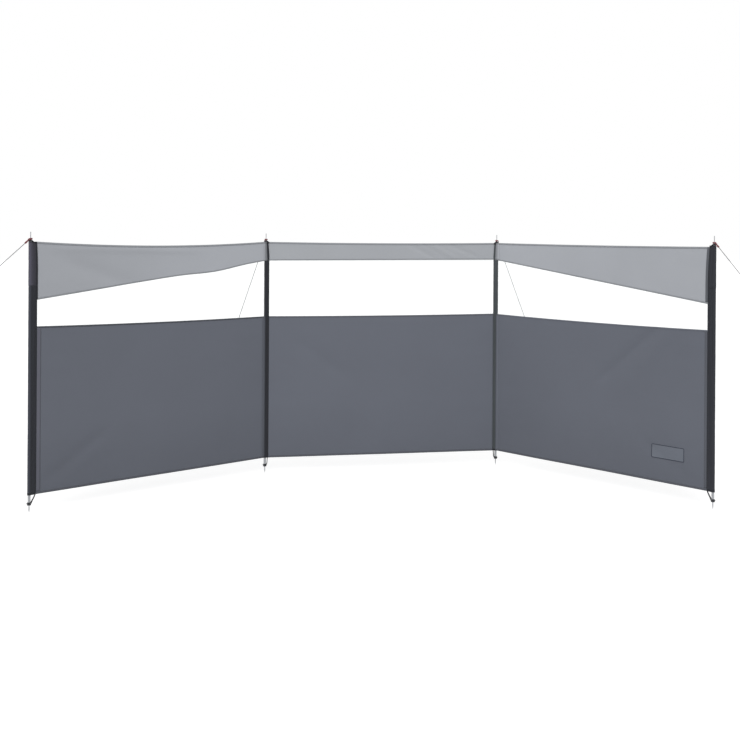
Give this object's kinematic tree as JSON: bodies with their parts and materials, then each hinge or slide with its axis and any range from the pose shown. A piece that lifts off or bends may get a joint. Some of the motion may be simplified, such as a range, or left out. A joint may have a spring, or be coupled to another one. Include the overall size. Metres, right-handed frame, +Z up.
{
  "type": "beach windbreak",
  "caption": "Fabric beach windbreak in hinged bays on spiked steel poles, with a dark lower panel, a clear window strip, a light top band, and guy lines to ground pegs.",
  "frame": {"origin": "foot of the left inner pole, on the flat ring of its foot round the spike, at ground level", "axes": "+X along the centre bay to the right inner pole, +Y to the back, where the inner guys run, +Z up along the poles"},
  "size_m": [6.4236, 3.7056, 1.767],
  "materials": {
    "steel": "satin",
    "peg_steel": "satin",
    "foot_plastic": "matte",
    "runner_plastic": "matte",
    "sleeve_fabric": "woven, dull",
    "elastic": "braided",
    "dark_fabric": "woven, dull",
    "light_fabric": "woven, dull",
    "clear_film": "clear, smooth",
    "red_cord": "braided",
    "grey_cord": "braided",
    "patch_fabric": "woven, dull"
  },
  "bodies": {
    "centre": {"inner_left_pole": "steel", "inner_left_spike": "steel", "inner_left_foot": "foot_plastic", "inner_left_sleeve": "sleeve_fabric", "inner_left_foot_loop": "elastic", "inner_left_guy_ring": "red_cord", "inner_left_guy_line": "grey_cord", "inner_left_guy_runner": "runner_plastic", "inner_left_peg": "peg_steel", "inner_right_pole": "steel", "inner_right_spike": "steel", "inner_right_foot": "foot_plastic", "inner_right_sleeve": "sleeve_fabric", "inner_right_foot_loop": "elastic", "inner_right_guy_ring": "red_cord", "inner_right_guy_line": "grey_cord", "inner_right_guy_runner": "runner_plastic", "inner_right_peg": "peg_steel", "centre_lower_panel": "dark_fabric", "centre_window": "clear_film", "centre_top_band": "light_fabric"},
    "left_bay": {"outer_left_pole": "steel", "outer_left_spike": "steel", "outer_left_foot": "foot_plastic", "outer_left_sleeve": "sleeve_fabric", "outer_left_foot_loop": "elastic", "outer_left_guy_ring": "red_cord", "outer_left_guy_line": "grey_cord", "outer_left_guy_runner": "runner_plastic", "outer_left_peg": "peg_steel", "left_lower_panel": "dark_fabric", "left_window": "clear_film", "left_top_band": "light_fabric"},
    "right_bay": {"outer_right_pole": "steel", "outer_right_spike": "steel", "outer_right_foot": "foot_plastic", "outer_right_sleeve": "sleeve_fabric", "outer_right_foot_loop": "elastic", "outer_right_guy_ring": "red_cord", "outer_right_guy_line": "grey_cord", "outer_right_guy_runner": "runner_plastic", "outer_right_peg": "peg_steel", "right_lower_panel": "dark_fabric", "right_window": "clear_film", "right_top_band": "light_fabric", "bare_patch": "patch_fabric"}
  },
  "joints": [
    {"name": "left_bay_swing", "type": "hinge", "parent": "centre", "child": "left_bay", "pos_m": [0, 0, 0], "axis": [0, 0, 1], "range_deg": [-29.5, 60.5]},
    {"name": "right_bay_swing", "type": "hinge", "parent": "centre", "child": "right_bay", "pos_m": [1.667, 0, 0], "axis": [0, 0, -1], "range_deg": [-55, 35]}
  ]
}
